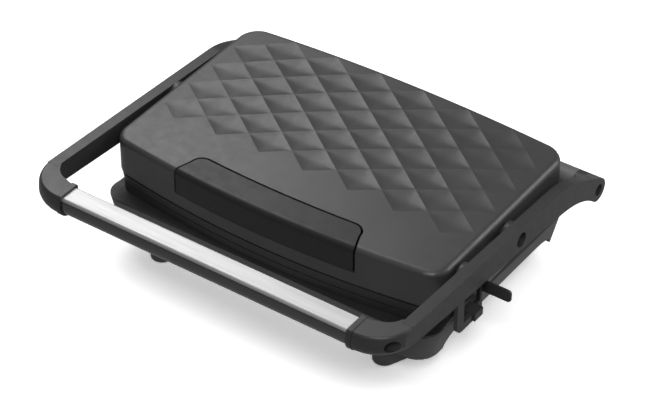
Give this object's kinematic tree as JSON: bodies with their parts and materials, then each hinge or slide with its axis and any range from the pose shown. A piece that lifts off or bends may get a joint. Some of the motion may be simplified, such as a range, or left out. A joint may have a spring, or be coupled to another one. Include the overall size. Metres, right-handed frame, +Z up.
{
  "type": "contact sandwich toaster",
  "caption": "Contact sandwich toaster with a quilted floating lid, ribbed plates, a U-shaped handle frame on a rear hinge, a side latch and a release lever.",
  "frame": {"origin": "on the counter, under the middle of the whole toaster's box, which is 5.25 mm to the right of the lid's own middle because the lever sticks out on the right", "axes": "+Z up from the counter, +Y from the grip at the front towards the hinge at the back, +X along the grip to the side with the latch and the lever"},
  "size_m": [0.2904, 0.2546, 0.0913],
  "materials": {
    "housing": "satin moulded black",
    "black_plastic": "fine matt black",
    "arm_plastic": "satin dark grey",
    "lid_plastic": "satin dark grey, quilted on top",
    "insert_gloss": "semi-gloss dark grey",
    "brushed_strip": "brushed along the bar",
    "steel": "plain zinc-plated",
    "sheet": "bare sheet",
    "plate": "non-stick coated casting",
    "ceramic": "glazed ceramic",
    "rubber": "matt"
  },
  "bodies": {
    "base": {"lower_housing": "housing", "bottom_pan": "black_plastic", "foot_posts": "housing", "pan_screws": "steel", "base_frame": "housing", "lower_plate": "plate", "lower_element": "steel", "lower_shield": "sheet", "lower_plate_screws": "steel", "thermostat": "ceramic", "thermal_cutoff": "ceramic", "terminal_block": "ceramic", "cord_gland": "black_plastic", "housing_screws": "steel", "rubber_feet": "rubber", "catch_plate": "black_plastic", "hinge_pins": "steel"},
    "handle": {"right_arm": "arm_plastic", "left_arm": "arm_plastic", "right_arm_strip": "black_plastic", "left_arm_strip": "black_plastic", "grip_core": "black_plastic", "grip_strip": "brushed_strip", "grip_collars": "arm_plastic", "grip_screws": "steel", "pivot_pins": "steel", "latch_pin": "steel"},
    "lid": {"lid_cover": "lid_plastic", "front_insert": "insert_gloss", "lid_frame": "black_plastic", "upper_plate": "plate", "upper_element": "steel", "upper_shield": "sheet", "upper_plate_screws": "steel", "lid_screws": "steel", "pivot_bushes": "black_plastic"},
    "latch": {"latch": "arm_plastic"},
    "lever": {"release_lever": "black_plastic"}
  },
  "joints": [
    {"name": "handle_hinge", "type": "hinge", "parent": "base", "child": "handle", "pos_m": [-0.00525, 0.1189, 0.0485], "axis": [-1, 0, 0], "range_deg": [0, 180]},
    {"name": "lid_float", "type": "hinge", "parent": "handle", "child": "lid", "pos_m": [-0.00525, 0.0212, 0.071], "axis": [-1, 0, 0], "range_deg": [-10, 0]},
    {"name": "latch_swing", "type": "hinge", "parent": "handle", "child": "latch", "pos_m": [0.13075, -0.0318, 0.074], "axis": [1, 0, 0], "range_deg": [0, 14]},
    {"name": "release_lever_slide", "type": "slide", "parent": "base", "child": "lever", "axis": [0, 1, 0], "range_m": [0, 0.012]}
  ],
  "couplings": [
    {"joint": "lid_float", "follows": "handle_hinge", "ratio": -0.05}
  ]
}
